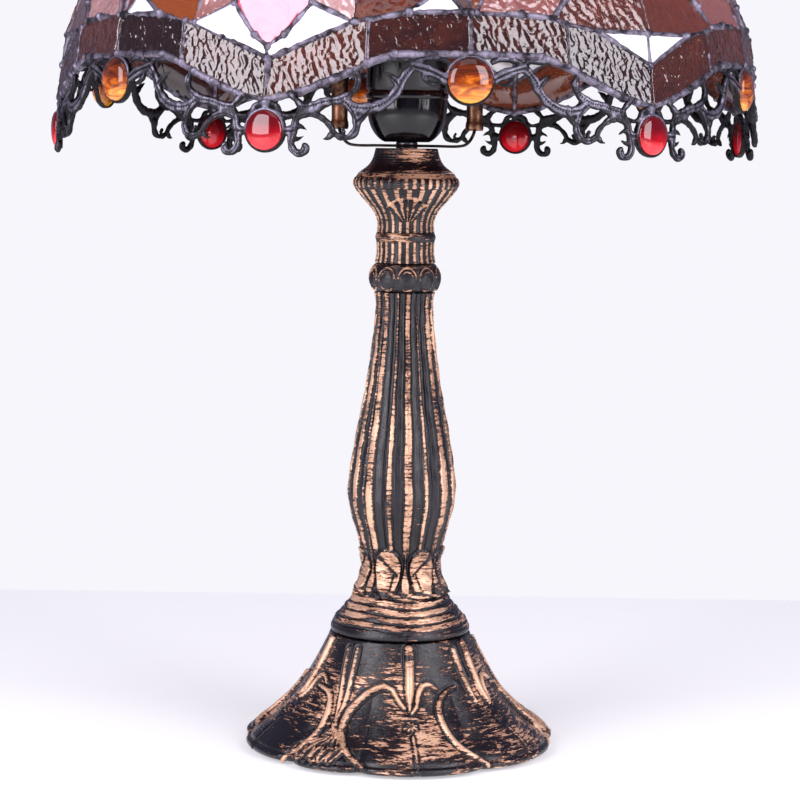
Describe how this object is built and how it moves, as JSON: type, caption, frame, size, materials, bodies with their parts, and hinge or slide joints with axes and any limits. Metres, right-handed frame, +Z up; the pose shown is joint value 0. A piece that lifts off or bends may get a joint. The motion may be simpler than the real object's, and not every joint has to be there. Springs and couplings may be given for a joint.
{
  "type": "leaded glass table lamp",
  "caption": "Table lamp with a domed leaded-glass shade, jewelled filigree skirt, harp and fluted cast stem on a weighted foot.",
  "frame": {"origin": "centre of the underside of the foot, on the surface that the lamp stands on", "axes": "+Z up along the stem, -Y towards the front, +X to the right; the harp lies in the XZ plane"},
  "size_m": [0.3062, 0.303, 0.4572],
  "materials": {
    "cast_bronze": "black cast metal, dry-brushed copper on the raised work",
    "felt": "dark felt",
    "ballast_iron": "raw sand-cast iron",
    "black_rubber": "matt moulded rubber",
    "zinc_steel": "zinc plate",
    "harp_bronze": "antique bronze plate",
    "plain_brass": "turned brass",
    "phenolic": "moulded black phenolic, glossy",
    "porcelain": "white insulating body",
    "opal_glass": "frosted white glass",
    "nickel_shell": "rolled bulb cap",
    "ripple_glass": "leaded ripple glass: amber, maroon, white and pink pieces",
    "lead_came": "soldered came, dark pewter patina",
    "pewter_filigree": "cast filigree, dark pewter patina",
    "ruby_glass": "polished red cabochon",
    "honey_glass": "polished amber cabochon"
  },
  "bodies": {
    "stand": {"base_pad": "felt", "foot_casting": "cast_bronze", "ballast_weight": "ballast_iron", "cord_bushing": "black_rubber", "foot_shoulder": "cast_bronze", "column_casting": "cast_bronze", "bead_collar": "cast_bronze", "neck_casting": "cast_bronze", "neck_cap": "cast_bronze", "threaded_rod": "zinc_steel", "base_washer": "zinc_steel", "lock_washer": "zinc_steel", "rod_nut": "zinc_steel", "harp_saddle": "harp_bronze", "harp": "harp_bronze", "harp_stud": "plain_brass", "terminal_screw_left": "plain_brass", "terminal_screw_right": "plain_brass", "socket_cap": "phenolic", "socket_shell": "phenolic", "socket_core": "porcelain", "screw_shell": "plain_brass", "centre_contact": "plain_brass"},
    "bulb": {"bulb_glass": "opal_glass", "bulb_cap": "nickel_shell", "bulb_contact": "nickel_shell"},
    "ferrule_left": {"harp_ferrule_left": "harp_bronze"},
    "ferrule_right": {"harp_ferrule_right": "harp_bronze"},
    "shade_carrier": {"crown_washer": "zinc_steel"},
    "shade": {"leadwork": "lead_came", "glass_gore_1": "ripple_glass", "glass_gore_2": "ripple_glass", "glass_gore_3": "ripple_glass", "glass_gore_4": "ripple_glass", "glass_gore_5": "ripple_glass", "glass_gore_6": "ripple_glass", "filigree_1": "pewter_filigree", "filigree_2": "pewter_filigree", "filigree_3": "pewter_filigree", "filigree_4": "pewter_filigree", "filigree_5": "pewter_filigree", "filigree_6": "pewter_filigree", "red_cabochon_1": "ruby_glass", "red_cabochon_2": "ruby_glass", "red_cabochon_3": "ruby_glass", "red_cabochon_4": "ruby_glass", "red_cabochon_5": "ruby_glass", "red_cabochon_6": "ruby_glass", "amber_cabochon_1": "honey_glass", "amber_cabochon_2": "honey_glass", "amber_cabochon_3": "honey_glass", "amber_cabochon_4": "honey_glass", "amber_cabochon_5": "honey_glass", "amber_cabochon_6": "honey_glass", "crown_ring": "plain_brass", "vase_cap": "cast_bronze"},
    "finial": {"finial": "cast_bronze"}
  },
  "joints": [
    {"name": "bulb_turn", "type": "hinge", "parent": "stand", "child": "bulb", "pos_m": [0, 0, 0.35], "axis": [0, 0, 1], "continuous": true},
    {"name": "ferrule_left_lift", "type": "slide", "parent": "stand", "child": "ferrule_left", "axis": [0, 0, 1], "range_m": [0, 0.012]},
    {"name": "ferrule_right_lift", "type": "slide", "parent": "stand", "child": "ferrule_right", "axis": [0, 0, 1], "range_m": [0, 0.012]},
    {"name": "shade_lift", "type": "slide", "parent": "stand", "child": "shade_carrier", "axis": [0, 0, 1], "range_m": [0, 0.18]},
    {"name": "shade_swivel", "type": "hinge", "parent": "shade_carrier", "child": "shade", "pos_m": [0, 0, 0.42], "axis": [0, 0, 1], "continuous": true},
    {"name": "finial_turn", "type": "hinge", "parent": "shade", "child": "finial", "pos_m": [0, 0, 0.44], "axis": [0, 0, 1], "continuous": true}
  ]
}
